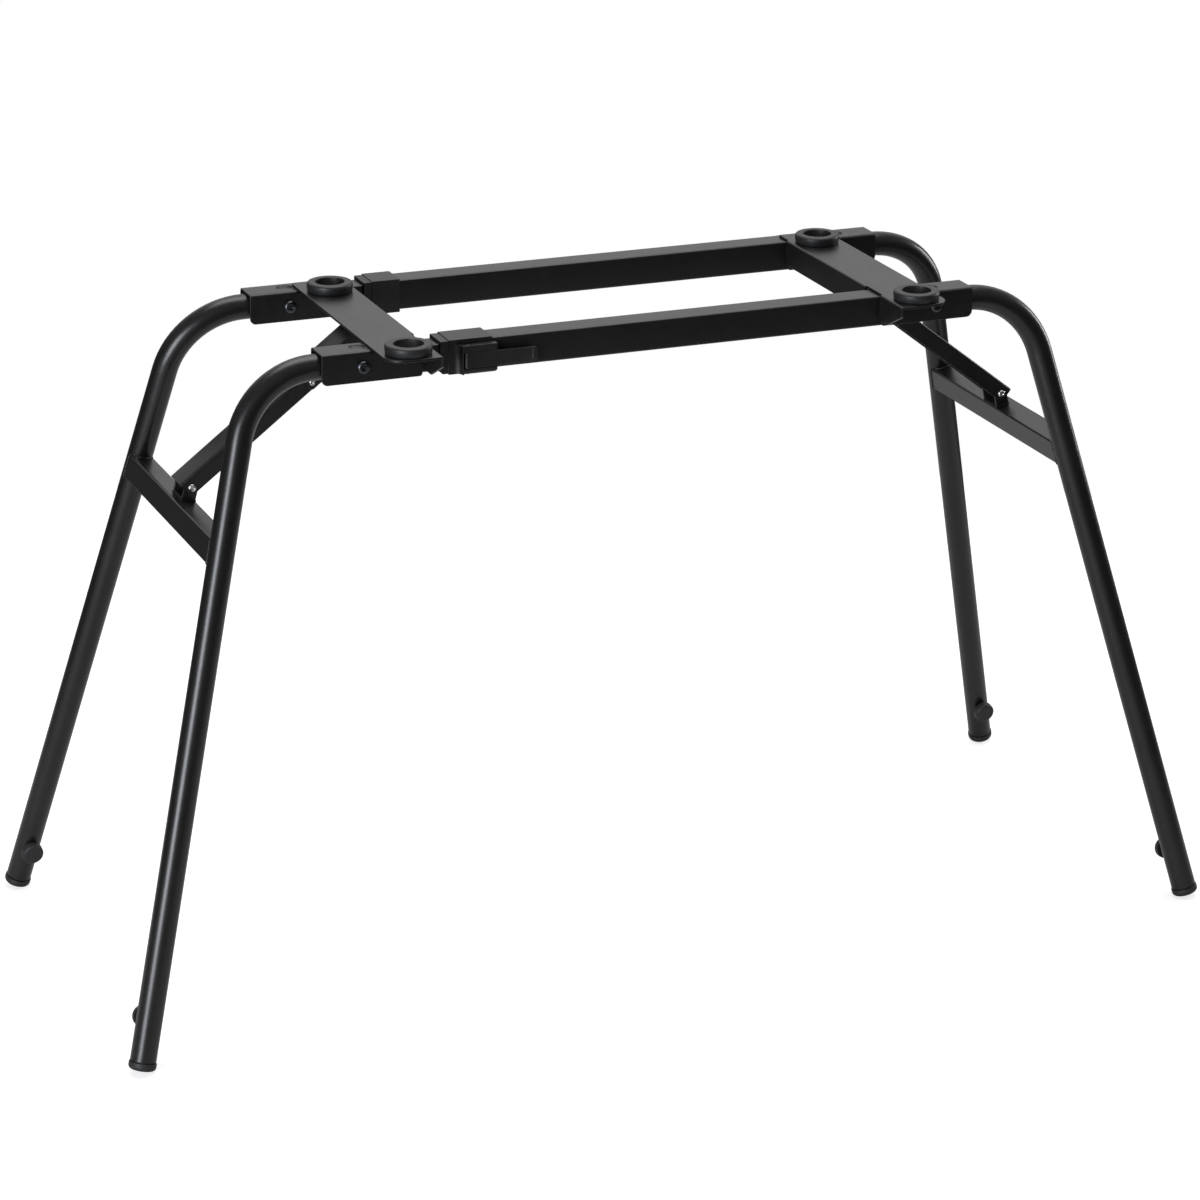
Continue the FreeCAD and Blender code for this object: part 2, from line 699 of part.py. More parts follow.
def collar(y, length):
    """A moulded collar: a main block, a narrower lip at its open end, and a stepped bore for both rails."""
    half = rail_width / 2 + collar_wall
    main_start = collar_end + collar_lip_length
    main = block(main_start, main_start + length, y - half, y + half, collar_bottom, collar_top)
    main = rounded(main, collar_rounding, ALONG)
    lip_half = half - collar_lip_step
    lip = block(collar_end, main_start, y - lip_half, y + lip_half,
                collar_bottom + collar_lip_step, collar_top - collar_lip_step)
    lip = lip.makeChamfer(collar_chamfer, edges_along(lip, ACROSS, lambda c: c.z < rail_middle
                                                      and c.x < collar_end + collar_lip_step))
    return main.fuse(lip).removeSplitter()


def rail_bore(y, length):
    half = rail_width / 2
    wide = block(outer_rail_start, collar_end + collar_lip_length + length + overrun, y - half, y + half,
                 rail_bottom, rail_top)
    wide = rounded(wide, rail_corner, ALONG)
    slide_half = inner_rail_width / 2 + slide_clearance
    slide_rise = inner_rail_height / 2 + slide_clearance
    narrow = block(collar_end - overrun, outer_rail_start + overrun, y - slide_half, y + slide_half,
                   rail_middle - slide_rise, rail_middle + slide_rise)
    return wide.fuse(narrow)


def rear_collar():
    return collar(rail_half_gauge, rear_collar_length).cut(rail_bore(rail_half_gauge, rear_collar_length))


def front_collar():
    """The longer collar. Two shelves on its front face carry the lever's pin, and a swept rim closes them."""
    shape = collar(-rail_half_gauge, front_collar_length)
    shelf_y = front_face - lever_shelf_depth
    rim_x = shelf_x0 - lever_housing_rim
    for low, high in ((slot_top, shelf_top), (shelf_bottom, slot_bottom)):
        shelf = block(rim_x, shelf_x1, shelf_y, front_face, low, high)
        shelf = rounded(shelf, lever_shelf_corner, UP, lambda c: c.x > shelf_x0 and c.y < front_face - near)
        if low == shelf_bottom:
            shelf = rounded(shelf, lever_shelf_low_corner, ACROSS,
                            lambda c: c.x > shelf_x1 - near and c.z < shelf_bottom + near)
        shape = shape.fuse(shelf)
    rim = block(rim_x, shelf_x0, shelf_y, front_face, shelf_bottom, shelf_top)
    sweep = block(rim_x - lever_shelf_depth, rim_x, shelf_y, front_face, shelf_bottom, shelf_top)
    hollow = rod(Vector(rim_x - lever_shelf_depth, shelf_y, lever_z), lever_shelf_depth, 2 * rail_height, UP)
    shape = shape.fuse([rim, sweep.cut(hollow)])
    shape = shape.removeSplitter().cut(rail_bore(-rail_half_gauge, front_collar_length))
    reach = cam_radius + cam_offset + lever_gap
    rise = cam_height / 2 + lever_gap
    pocket = block(lever_x - reach, lever_x + reach, front_face - overrun, front_face + collar_wall,
                   lever_z - rise, lever_z + rise)
    shape = shape.cut(pocket)
    return shape.cut(rod(Vector(lever_x, lever_y, lever_z), lever_pin_diameter / 2, 2 * rail_height, UP))


def lever_pin():
    length = shelf_top - shelf_bottom
    return rod(Vector(lever_x, lever_y, (shelf_top + shelf_bottom) / 2), lever_pin_diameter / 2, length, UP)


def cam_lever():
    """The clamp lever: a cam at the pin, a thick root between the shelves and a thin paddle to pull."""
    root_end = lever_x + lever_root_length
    tip = lever_x + lever_paddle_reach
    outer_y = lever_y - lever_half_depth
    inner_y = lever_y + lever_half_depth
    paddle_back = outer_y + lever_paddle_thickness
    plan = Part.Wire([
        Part.Arc(Vector(lever_x, inner_y, 0), Vector(lever_x - lever_half_depth, lever_y, 0),
                 Vector(lever_x, outer_y, 0)).toShape(),
        Part.makeLine(Vector(lever_x, outer_y, 0), Vector(root_end, outer_y, 0)),
        Part.makeLine(Vector(root_end, outer_y, 0), Vector(tip, outer_y + lever_paddle_lift, 0)),
        Part.makeLine(Vector(tip, outer_y + lever_paddle_lift, 0),
                      Vector(tip, paddle_back + lever_paddle_lift, 0)),
        Part.makeLine(Vector(tip, paddle_back + lever_paddle_lift, 0),
                      Vector(root_end + lever_half_depth, paddle_back, 0)),
        Part.makeLine(Vector(root_end + lever_half_depth, paddle_back, 0), Vector(root_end, inner_y, 0)),
        Part.makeLine(Vector(root_end, inner_y, 0), Vector(lever_x, inner_y, 0)),
    ])
    root_half = (slot_top - slot_bottom) / 2 - lever_gap
    body = Part.Face(plan).extrude(UP * (2 * root_half))
    body.translate(UP * (lever_z - root_half))
    paddle_half = lever_paddle_height / 2
    root = block(lever_x - lever_root_length, root_end, outer_y - overrun, inner_y + overrun,
                 lever_z - root_half, lever_z + root_half)
    root = rounded(root, lever_corner, ACROSS, lambda c: c.x > lever_x)
    paddle = block(lever_x, tip, outer_y - overrun, inner_y + overrun,
                   lever_z - paddle_half, lever_z + paddle_half)
    paddle = rounded(paddle, lever_corner, ACROSS, lambda c: c.x > root_end)
    body = body.common(root.fuse(paddle))
    rim = block(tip - lever_rim_width, tip, outer_y + lever_paddle_lift - lever_rim_height,
                outer_y + lever_paddle_lift + lever_paddle_thickness / 2,
                lever_z - paddle_half + lever_corner, lever_z + paddle_half - lever_corner)
    cam = rod(Vector(lever_x, lever_y + cam_offset, lever_z), cam_radius, cam_height, UP)
    body = body.fuse([rim, cam])
    bore_radius = lever_pin_diameter / 2 + running_clearance
    return body.cut(rod(Vector(lever_x, lever_y, lever_z), bore_radius, 4 * root_half, UP)).removeSplitter()


def save(name, shape):
    solids = shape.Solids
    if not shape.isValid():
        print("not valid:", name)
    kept = solids[0] if len(solids) == 1 else Part.makeCompound(solids)
    kept.exportStep("parts/" + name + ".step")
    print(name, len(solids), "solids, volume", round(shape.Volume))


def pair(make):
    """One piece on the front rail and one on the rear rail."""
    return Part.makeCompound([make(-rail_half_gauge), make(rail_half_gauge)])


def build():
    os.makedirs("parts", exist_ok=True)
    for place, y in (("front", -rail_half_gauge), ("rear", rail_half_gauge)):
        save("outer_rail_" + place, outer_rail(y))
        save("inner_rail_" + place, inner_rail(y))
        save("rail_sleeve_" + place, rail_sleeve(y))
        for side, shape in both_sides(bracket(y)).items():
            save(side + "_bracket_" + place, shape)
    save("inner_rail_plugs", pair(inner_rail_plug))
    save("collar_front", front_collar())
    save("collar_rear", rear_collar())
    save("lever_pin", lever_pin())
    save("cam_lever", cam_lever())
    for side, shape in both_sides(cross_plate()).items():
        save(side + "_cross_plate", shape)
    for place, y in (("front", pad_front_y), ("rear", pad_rear_y)):
        for side, shape in both_sides(pad(y)).items():
            save(side + "_pad_" + place, shape)
    repeated = {
        "pivot_bolts": pair(pivot_bolt),
        "pivot_nuts": pair(pivot_nut),
        "pivot_bushings": pair(pivot_bushing),
        "crossbar": crossbar(),
        "clevis": clevis(),
        "clevis_pin": headed_pin(clevis_pin, lower_link_width + 2 * running_clearance),
        "hanger": hanger(),
        "hanger_pin": headed_pin(hanger_pin, hanger_outer_width),
        "lower_link": lower_link(),
        "upper_link": upper_link(),
        "knee_rivets": knee_rivets(),
    }
    for place, turn in (("front", lambda s: s), ("rear", to_rear)):
        repeated["leg_" + place] = turn(leg_tube())
        repeated["foot_cap_" + place] = turn(foot_cap())
        repeated["bumper_" + place] = turn(bumper())
    for name, shape in repeated.items():
        for side, half in both_sides(shape).items():
            save(side + "_" + name, half)


build()
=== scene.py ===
import json
import math

import bmesh
import bpy
from mathutils import Matrix, Vector
from mathutils.bvhtree import BVHTree

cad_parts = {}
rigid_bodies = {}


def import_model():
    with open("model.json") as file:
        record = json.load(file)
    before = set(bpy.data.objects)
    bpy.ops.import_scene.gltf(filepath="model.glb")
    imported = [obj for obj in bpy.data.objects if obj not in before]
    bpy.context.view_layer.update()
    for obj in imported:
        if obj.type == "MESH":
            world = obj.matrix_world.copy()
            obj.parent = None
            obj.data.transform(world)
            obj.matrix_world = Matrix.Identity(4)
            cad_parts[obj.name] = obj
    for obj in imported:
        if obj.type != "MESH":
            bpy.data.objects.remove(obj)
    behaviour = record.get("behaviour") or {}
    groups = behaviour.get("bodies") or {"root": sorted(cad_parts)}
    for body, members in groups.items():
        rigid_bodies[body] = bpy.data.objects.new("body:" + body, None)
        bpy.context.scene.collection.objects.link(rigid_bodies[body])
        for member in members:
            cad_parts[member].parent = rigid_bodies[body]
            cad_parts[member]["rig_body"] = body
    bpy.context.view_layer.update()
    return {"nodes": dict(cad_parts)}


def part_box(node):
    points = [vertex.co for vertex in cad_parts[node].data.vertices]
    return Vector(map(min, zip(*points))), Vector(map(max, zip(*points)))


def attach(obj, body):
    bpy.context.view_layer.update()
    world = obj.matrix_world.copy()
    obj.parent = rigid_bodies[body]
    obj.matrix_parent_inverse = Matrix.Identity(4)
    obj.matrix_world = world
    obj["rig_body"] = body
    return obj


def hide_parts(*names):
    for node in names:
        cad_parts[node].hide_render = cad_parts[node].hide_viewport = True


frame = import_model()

mm = 0.001
nodes = frame["nodes"]
sides = {"left": -1, "right": 1}  # which way along X
places = {"front": -1, "rear": 1}  # and along Y


class Wire:
    # a shader output that can stand in a sum
    def __init__(self, maker, socket):
        self.maker, self.socket = maker, socket

    def sum(self, operation, first, second):
        return self.maker.add("ShaderNodeMath", {"operation": operation}, {0: first, 1: second})

    def __add__(self, other): return self.sum("ADD", self, other)
    def __radd__(self, other): return self.sum("ADD", other, self)
    def __sub__(self, other): return self.sum("SUBTRACT", self, other)
    def __rsub__(self, other): return self.sum("SUBTRACT", other, self)
    def __mul__(self, other): return self.sum("MULTIPLY", self, other)
    def __rmul__(self, other): return self.sum("MULTIPLY", other, self)


class NodeMaker:
    def __init__(self, tree):
        self.tree = tree

    def add(self, kind, settings=None, values=None, output=0):
        # one node: its settings first, then the values or wires of its sockets
        node = self.tree.nodes.new(kind)
        for key, value in (settings or {}).items():
            if key == "stops":  # the stops of a colour ramp, as place and grey
                ramp = node.color_ramp.elements
                while len(ramp) < len(value):
                    ramp.new(0.5)
                for element, (place, shade) in zip(ramp, value):
                    element.position = place
                    element.color = (shade, shade, shade, 1)
            else:
                setattr(node, key, value)
        for key, value in (values or {}).items():
            if isinstance(value, Wire):
                self.tree.links.new(value.socket, node.inputs[key])
            else:
                node.inputs[key].default_value = value
        return Wire(self, node.outputs[output])

    def noise(self, place, scale, detail=3.0, rough=0.55, stretch=None):
        if stretch:
            place = self.add("ShaderNodeVectorMath", {"operation": "MULTIPLY"},
                             {0: place, 1: stretch})
        return self.add("ShaderNodeTexNoise", None,
                        {"Vector": place, "Scale": scale, "Detail": detail, "Roughness": rough})

    def ramp(self, value, start, end):
        return self.add("ShaderNodeValToRGB", {"stops": ((start, 0.0), (end, 1.0))}, {0: value})

    def mixColour(self, factor, first, second):
        return self.add("ShaderNodeMix", {"data_type": "RGBA"},
                        {0: factor, 6: first, 7: second}, output=2)

    def smoothStep(self, value, start, end):
        return self.add("ShaderNodeMapRange", {"interpolation_type": "SMOOTHSTEP"},
                        {"Value": value, "From Min": start, "From Max": end})

    def bump(self, height):
        # the height is in millimetres
        return self.add("ShaderNodeBump", None, {"Strength": 1.0, "Distance": mm, "Height": height})

    def seenRays(self, glossyShare):
        # 1 where the camera or glass looks, and a share where gloss does
        rays = self.tree.nodes.new("ShaderNodeLightPath").outputs
        seen = Wire(self, rays["Is Camera Ray"]) + Wire(self, rays["Is Transmission Ray"])
        return seen + Wire(self, rays["Is Glossy Ray"]) * glossyShare


def grey(value, tint=(1.0, 1.0, 1.0)):
    return (value * tint[0], value * tint[1], value * tint[2], 1.0)


# peel is the orange peel of the skin and grain its fine grit, as noise scale and height in mm
finishes = {
    "black_rail_coat": {
        "dark": 0.0044, "light": 0.0070, "tint": (1.0, 1.0, 1.0),
        "rough": 0.33, "roughSpread": 0.08,
        "peel": 460, "peelHeight": 0.020, "grain": 2600, "grainHeight": 0.004},
    "black_tube_coat": {
        "dark": 0.0044, "light": 0.0072, "tint": (1.0, 0.99, 1.02),
        "rough": 0.31, "roughSpread": 0.07,
        "peel": 420, "peelHeight": 0.006, "grain": 2600, "grainHeight": 0.001},
    "black_sheet_coat": {
        "dark": 0.0046, "light": 0.0074, "tint": (1.02, 1.0, 0.97),
        "rough": 0.34, "roughSpread": 0.08,
        "peel": 480, "peelHeight": 0.020, "grain": 2600, "grainHeight": 0.004},
    "pad_rubber": {
        "dark": 0.0100, "light": 0.0160, "tint": (0.97, 1.0, 1.06),
        "rough": 0.46, "roughSpread": 0.10,
        "peel": 700, "peelHeight": 0.014, "grain": 3200, "grainHeight": 0.010},
    "cap_rubber": {
        "dark": 0.0092, "light": 0.0140, "tint": (1.0, 1.0, 1.02),
        "rough": 0.56, "roughSpread": 0.10,
        "peel": 600, "peelHeight": 0.020, "grain": 3200, "grainHeight": 0.012},
    "collar_plastic": {
        "dark": 0.0070, "light": 0.0105, "tint": (1.0, 1.0, 1.02),
        "rough": 0.42, "roughSpread": 0.06,
        "peel": 1400, "peelHeight": 0.010, "grain": 3600, "grainHeight": 0.010},
    "lever_plastic": {
        "dark": 0.0078, "light": 0.0115, "tint": (1.0, 1.0, 1.03),
        "rough": 0.38, "roughSpread": 0.06,
        "peel": 1200, "peelHeight": 0.008, "grain": 3600, "grainHeight": 0.008},
}
mottling = {"scale": 14, "fineScale": 190, "fineShare": 0.35, "start": 0.36, "end": 0.64}

metals = {
    "black_bolt_steel": {
        "colour": (0.095, 0.100, 0.110), "rough": 0.30, "roughSpread": 0.14, "brush": 900},
    "plain_steel": {
        "colour": (0.46, 0.46, 0.47), "rough": 0.30, "roughSpread": 0.14, "brush": 900},
    "zinc_rivets": {
        "colour": (0.74, 0.75, 0.78), "rough": 0.22, "roughSpread": 0.16, "brush": 1200},
}
brushing = {"stretch": (1.0, 0.2, 1.0), "height": 0.012, "share": 0.6,
            "stainScale": 160, "stainShade": 0.72, "start": 0.35, "end": 0.60}


def newMaterial(name):
    material = bpy.data.materials.new(name)
    material.use_nodes = True
    tree = material.node_tree
    shader = next(n for n in tree.nodes if n.type == "BSDF_PRINCIPLED")
    return material, NodeMaker(tree), shader


def wireUp(maker, shader, colour, rough, height):
    links = maker.tree.links
    links.new(colour.socket, shader.inputs["Base Color"])
    links.new(rough.socket, shader.inputs["Roughness"])
    links.new(maker.bump(height).socket, shader.inputs["Normal"])


def coatMaterial(name, look):
    # sprayed, dipped or moulded black: soft mottling, orange peel and a fine grain
    material, maker, shader = newMaterial(name)
    place = maker.add("ShaderNodeTexCoord", output=3)
    mottle = maker.noise(place, mottling["scale"], detail=4)
    fine = maker.noise(place, mottling["fineScale"], detail=3)
    peel = maker.noise(place, look["peel"], detail=2, rough=0.4)
    grain = maker.noise(place, look["grain"], detail=2)
    mixed = mottle * (1 - mottling["fineShare"]) + fine * mottling["fineShare"]
    blend = maker.ramp(mixed, mottling["start"], mottling["end"])
    colour = maker.mixColour(blend, grey(look["dark"], look["tint"]),
                             grey(look["light"], look["tint"]))
    rough = look["rough"] + (fine + mottle - 1) * look["roughSpread"]
    wireUp(maker, shader, colour, rough, peel * look["peelHeight"] + grain * look["grainHeight"])
    return material


def metalMaterial(name, look):
    # turned or plated metal: fine brushing and a few duller places
    material, maker, shader = newMaterial(name)
    shader.inputs["Metallic"].default_value = 1.0
    place = maker.add("ShaderNodeTexCoord", output=3)
    brush = maker.noise(place, look["brush"], detail=3, stretch=brushing["stretch"])
    stain = maker.noise(place, brushing["stainScale"], detail=4)
    blend = maker.ramp(stain, brushing["start"], brushing["end"])
    colour = maker.mixColour(blend, grey(brushing["stainShade"], look["colour"]),
                             grey(1.0, look["colour"]))
    mixed = brush * brushing["share"] + stain * (1 - brushing["share"])
    rough = look["rough"] + (mixed - 0.5) * (2 * look["roughSpread"])
    wireUp(maker, shader, colour, rough, brush * brushing["height"])
    return material


materials = {name: coatMaterial(name, look) for name, look in finishes.items()}
materials.update({name: metalMaterial(name, look) for name, look in metals.items()})

# the finish of a node goes by the longest of these words in its name
nodeSlots = {
    "rail": "black_rail_coat", "sleeve": "black_rail_coat", "bracket": "black_sheet_coat",
    "plate": "black_sheet_coat", "hanger": "black_sheet_coat", "link": "black_sheet_coat",
    "clevis": "black_sheet_coat", "crossbar": "black_tube_coat", "leg": "black_tube_coat",
    "pad": "pad_rubber", "foot_cap": "cap_rubber", "bumper": "cap_rubber",
    "collar": "collar_plastic", "plugs": "collar_plastic", "cam_lever": "lever_plastic",
    "bolts": "black_bolt_steel", "nuts": "plain_steel", "bushings": "plain_steel",
    "lever_pin": "plain_steel", "rivets": "zinc_rivets", "clevis_pin": "zinc_rivets",
    "hanger_pin": "zinc_rivets",
}


def slotOf(nodeName):
    found = [key for key in nodeSlots if key in nodeName]
    return nodeSlots[max(found, key=len)]


def bodyOf(nodeName):
    return nodes[nodeName]["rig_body"]


for name, node in nodes.items():
    if not node.material_slots:
        node.data.materials.append(None)
    for slot in node.material_slots:
        slot.material = materials[slotOf(name)]
print("materials:", len(materials), "on", len(nodes), "nodes")


def deselectAll():
    bpy.ops.object.select_all(action="DESELECT")


def pick(piece):
    deselectAll()
    piece.select_set(True)
    bpy.context.view_layer.objects.active = piece


def smoothByAngle(degrees):
    bpy.ops.object.shade_smooth_by_angle(angle=math.radians(degrees))


def settle(piece, name, body, slotName, stands=()):
    # last steps of every new piece: name, finish, body and what it stands for
    piece.name = piece.data.name = name
    piece.data.materials.clear()
    piece.data.materials.append(materials[slotName])
    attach(piece, body)
    if stands:
        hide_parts(*stands)


edgeBreak = {
    "segments": 2, "fromAngle": 38, "smooth": 40,  # degrees
    "merge": 0.004 * mm, "flat": 0.6,  # how the CAD triangles are joined: distance, degrees
    "stray": 0.8 * mm,  # the bevel's corners lie no further than this from the CAD node
    "width": {"pivot": 0.2 * mm, "collar": 0.45 * mm, "cam_lever": 0.6 * mm,
              "cross_plate": 0.55 * mm, "bracket": 0.6 * mm, "link": 0.4 * mm,
              "hanger": 0.4 * mm, "clevis": 0.4 * mm, "crossbar": 0.3 * mm, "rail": 0.3 * mm},
}

# edges that lie whole in one of these boxes, in mm, stay sharp:
# the foot of the collar's hollow band, and the cusp beside it
keptSharp = {"collar_front": (((-209.5, -132.6, 616.0), (-196.0, -124.4, 617.3)),
                              ((-200.4, -132.6, 616.0), (-200.2, -129.2, 619.9)))}


def mergedCopy(nodeName):
    # a copy of a CAD node, with its loose triangles merged and its flat faces made whole
    piece = bpy.data.objects.new(nodeName + "_edged", nodes[nodeName].data.copy())
    bpy.context.scene.collection.objects.link(piece)
    pick(piece)
    bpy.ops.object.mode_set(mode="EDIT")
    bpy.ops.mesh.select_all(action="SELECT")
    bpy.ops.mesh.remove_doubles(threshold=edgeBreak["merge"])
    bpy.ops.mesh.dissolve_limited(angle_limit=math.radians(edgeBreak["flat"]))
    bpy.ops.object.mode_set(mode="OBJECT")
    return piece


def markEdges(piece, nodeName):
    # the sharp edges get broken, but not those that are to stay sharp
    def keeps(edge):
        return any(all(low[i] * mm < end.co[i] < high[i] * mm
                       for end in edge.verts for i in range(3))
                   for low, high in keptSharp.get(nodeName, ()))

    model = bmesh.new()
    model.from_mesh(piece.data)
    weight = model.edges.layers.float.new("bevel_weight_edge")
    for edge in model.edges:
        sharp = edge.calc_face_angle(0) > math.radians(edgeBreak["fromAngle"])
        edge[weight] = 1.0 if sharp and not keeps(edge) else 0.0
    model.to_mesh(piece.data)
    model.free()


def drawIn(piece, nodeName):
    # a corner that the bevel threw far off goes back to the nearest place on the CAD node
    solid = nodes[nodeName].data
    surface = BVHTree.FromPolygons([v.co for v in solid.vertices],
                                   [f.vertices for f in solid.polygons])
    for vertex in piece.data.vertices:
        spot, _, _, away = surface.find_nearest(vertex.co)
        if away > edgeBreak["stray"]:
            vertex.co = spot


def breakEdges(piece, nodeName):
    # sharp edges broken, as coated or moulded edges are
    markEdges(piece, nodeName)
    bevel = piece.modifiers.new("edges", "BEVEL")
    bevel.width = next(size for key, size in edgeBreak["width"].items() if key in nodeName)
    bevel.segments = edgeBreak["segments"]
    bevel.limit_method = "WEIGHT"
    bevel.use_clamp_overlap = "pivot" in nodeName
    bevel.harden_normals = True
    bevel.loop_slide = False
    pick(piece)
    smoothByAngle(edgeBreak["smooth"])
    for modifier in list(piece.modifiers):
        bpy.ops.object.modifier_apply(modifier=modifier.name)
    drawIn(piece, nodeName)
    settle(piece, nodeName + "_edged", bodyOf(nodeName), slotOf(nodeName), [nodeName])


edgedNodes = ["collar_front", "collar_rear", "cam_lever"]
edgedNodes += ["outer_rail_front", "outer_rail_rear", "inner_rail_front", "inner_rail_rear",
               "rail_sleeve_front", "rail_sleeve_rear"]
for side in sides:
    edgedNodes += [f"{side}_{part}" for part in (
        "cross_plate", "crossbar", "clevis", "hanger", "lower_link", "upper_link",
        "bracket_front", "bracket_rear", "pivot_bolts", "pivot_nuts")]


# the hollow in a bracket's top, over the bolt; its rings are radius and depth in mm
dimple = {"cadRadius": 9.5 * mm, "pivotX": 298 * mm, "top": 648 * mm,
          "deepest": 2 * mm, "skin": 0.001 * mm,  # where the old hollow's faces lie under the top
          "upward": 0.5,  # and how far they look up
          "rings": ((9.25, 0.03), (8.95, 0.14), (8.65, 0.38), (7.95, 1.12), (7.6, 1.44),
                    (7.2, 1.62), (6.7, 1.70), (4.5, 1.70), (2.0, 1.70))}


def extrudeRing(rise, share, centre):
    # the selected ring of edges goes up and then in or out by a share
    bpy.ops.mesh.extrude_edges_move(TRANSFORM_OT_translate={"value": (0, 0, rise)})
    bpy.ops.transform.resize(value=(share, share, 1), center_override=centre)


def pressDimple(piece):
    # the hollow is pressed again, ring by ring, with a steep wall and a flat floor
    depths = [v.co.y for v in piece.data.vertices]
    pivotX = math.copysign(dimple["pivotX"], piece.data.vertices[0].co.x)
    centre = Vector((pivotX, (min(depths) + max(depths)) / 2, dimple["top"]))
    pick(piece)
    bpy.ops.object.mode_set(mode="EDIT")
    bpy.ops.mesh.select_mode(type="FACE")
    edited = bmesh.from_edit_mesh(piece.data)
    for face in edited.faces:
        middle = face.calc_center_median() - centre
        face.select_set(math.hypot(middle.x, middle.y) < dimple["cadRadius"]
                        and -dimple["deepest"] < middle.z < -dimple["skin"]
                        and face.normal.z > dimple["upward"])
    edited.select_flush_mode()
    bmesh.update_edit_mesh(piece.data)
    bpy.ops.mesh.delete(type="FACE")
    bpy.ops.mesh.select_mode(type="EDGE")
    bpy.ops.mesh.select_all(action="DESELECT")
    edited = bmesh.from_edit_mesh(piece.data)
    for edge in edited.edges:
        edge.select_set(edge.is_boundary)
    bmesh.update_edit_mesh(piece.data)
    radius, depth = dimple["cadRadius"], 0.0
    for nextRadius, nextDepth in dimple["rings"]:
        extrudeRing(depth - nextDepth * mm, nextRadius * mm / radius, centre)
        radius, depth = nextRadius * mm, nextDepth * mm
    bpy.ops.mesh.edge_face_add()
    bpy.ops.object.mode_set(mode="OBJECT")


for name in edgedNodes:
    piece = mergedCopy(name)
    if "bracket" in name:
        pressDimple(piece)
    breakEdges(piece, name)
print("broken edges on", len(edgedNodes), "pieces")


turning = {"merge": 0.002 * mm, "smooth": 34}  # degrees


def turned(profile, centre, axis, segments, closed=False):
    # a piece of revolution, raised ring by ring from a circle
    deselectAll()
    radius, height = profile[0]
    bpy.ops.mesh.primitive_circle_add(vertices=segments, radius=radius, fill_type="NOTHING",
                                      location=(0, 0, 0))
    piece = bpy.context.object
    bpy.ops.object.mode_set(mode="EDIT")
    bpy.ops.mesh.select_all(action="SELECT")
    bpy.ops.transform.translate(value=(0, 0, height))
    if not closed:
        bpy.ops.mesh.edge_face_add()
        bpy.ops.mesh.region_to_loop()
    for nextRadius, nextHeight in profile[1:]:
        extrudeRing(nextHeight - height, nextRadius / radius, (0, 0, nextHeight))
        radius, height = nextRadius, nextHeight
    if not closed:
        bpy.ops.mesh.edge_face_add()
    bpy.ops.mesh.select_all(action="SELECT")
    bpy.ops.mesh.remove_doubles(threshold=turning["merge"])
    bpy.ops.mesh.normals_make_consistent(inside=False)
    bpy.ops.object.mode_set(mode="OBJECT")
    turn = Vector(axis).to_track_quat("Z", "Y").to_matrix().to_4x4()
    piece.matrix_world = Matrix.Translation(centre) @ turn
    pick(piece)
    bpy.ops.object.transform_apply(location=True, rotation=True, scale=True)
    smoothByAngle(turning["smooth"])
    return piece


def corner(centreRadius, centreHeight, size, start, end, steps):
    # a rounded edge of a profile, from one direction to another in degrees, in steps
    turns = [math.radians(start + (end - start) * i / steps) for i in range(steps + 1)]
    return [(centreRadius + size * math.cos(a), centreHeight + size * math.sin(a)) for a in turns]


# domed rivet heads, each with the hollow that closing it leaves, which goes down in steps:
# outwards from its radius and down from the face, in mm
rivet = {"radius": {"pin": 3.9 * mm, "knee": 3.1 * mm}, "height": 2.2 * mm, "rounding": 1.6 * mm,
         "hollow": {"pin": 1.5 * mm, "knee": 0.9 * mm},
         "hollowSteps": ((0.4, 0.0), (0.15, 0.15), (-0.1, 0.6), (-0.4, 0.9)),
         "floorRadius": 0.3 * mm, "floorDepth": 1.05 * mm,
         "sunk": 0.3 * mm, "shank": 3 * mm,
         "segments": 40, "shankSegments": 32, "roundSteps": 5}


def rivetHeads(nodeName):
    low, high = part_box(nodeName)
    middle = (low + high) / 2
    kind = "knee" if "knee" in nodeName else "pin"
    radius, hollow, face = rivet["radius"][kind], rivet["hollow"][kind], rivet["height"]
    rounding = rivet["rounding"]
    profile = [(radius, -rivet["sunk"]), (radius, face - rounding)]
    profile += corner(radius - rounding, face - rounding, rounding, 0, 90, rivet["roundSteps"])[1:]
    profile += [(hollow + out * mm, face - down * mm) for out, down in rivet["hollowSteps"]]
    profile.append((rivet["floorRadius"], face - rivet["floorDepth"]))
    heads = []
    for way, y in ((-1, low.y), (1, high.y)):
        base = Vector((middle.x, y - way * rivet["height"], middle.z))
        heads.append(turned(profile, base, (0, way, 0), rivet["segments"]))
    return heads


def pinShank(nodeName):
    # the pin between the two heads
    low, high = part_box(nodeName)
    reach = high.y - low.y - 2 * rivet["height"]
    start = Vector(((low.x + high.x) / 2, low.y + rivet["height"], (low.z + high.z) / 2))
    profile = [(rivet["shank"], 0), (rivet["shank"], reach)]
    return turned(profile, start, (0, 1, 0), rivet["shankSegments"])


for side in sides:
    for part in ("clevis_pin", "hanger_pin", "knee_rivets"):
        nodeName = f"{side}_{part}"
        heads = rivetHeads(nodeName)
        if part != "knee_rivets":
            heads.append(pinShank(nodeName))
        deselectAll()
        for head in heads:
            head.select_set(True)
        bpy.context.view_layer.objects.active = heads[0]
        bpy.ops.object.join()
        settle(heads[0], nodeName + "_riveted", bodyOf(nodeName), "zinc_rivets", [nodeName])
print("rivets: 6 pieces")


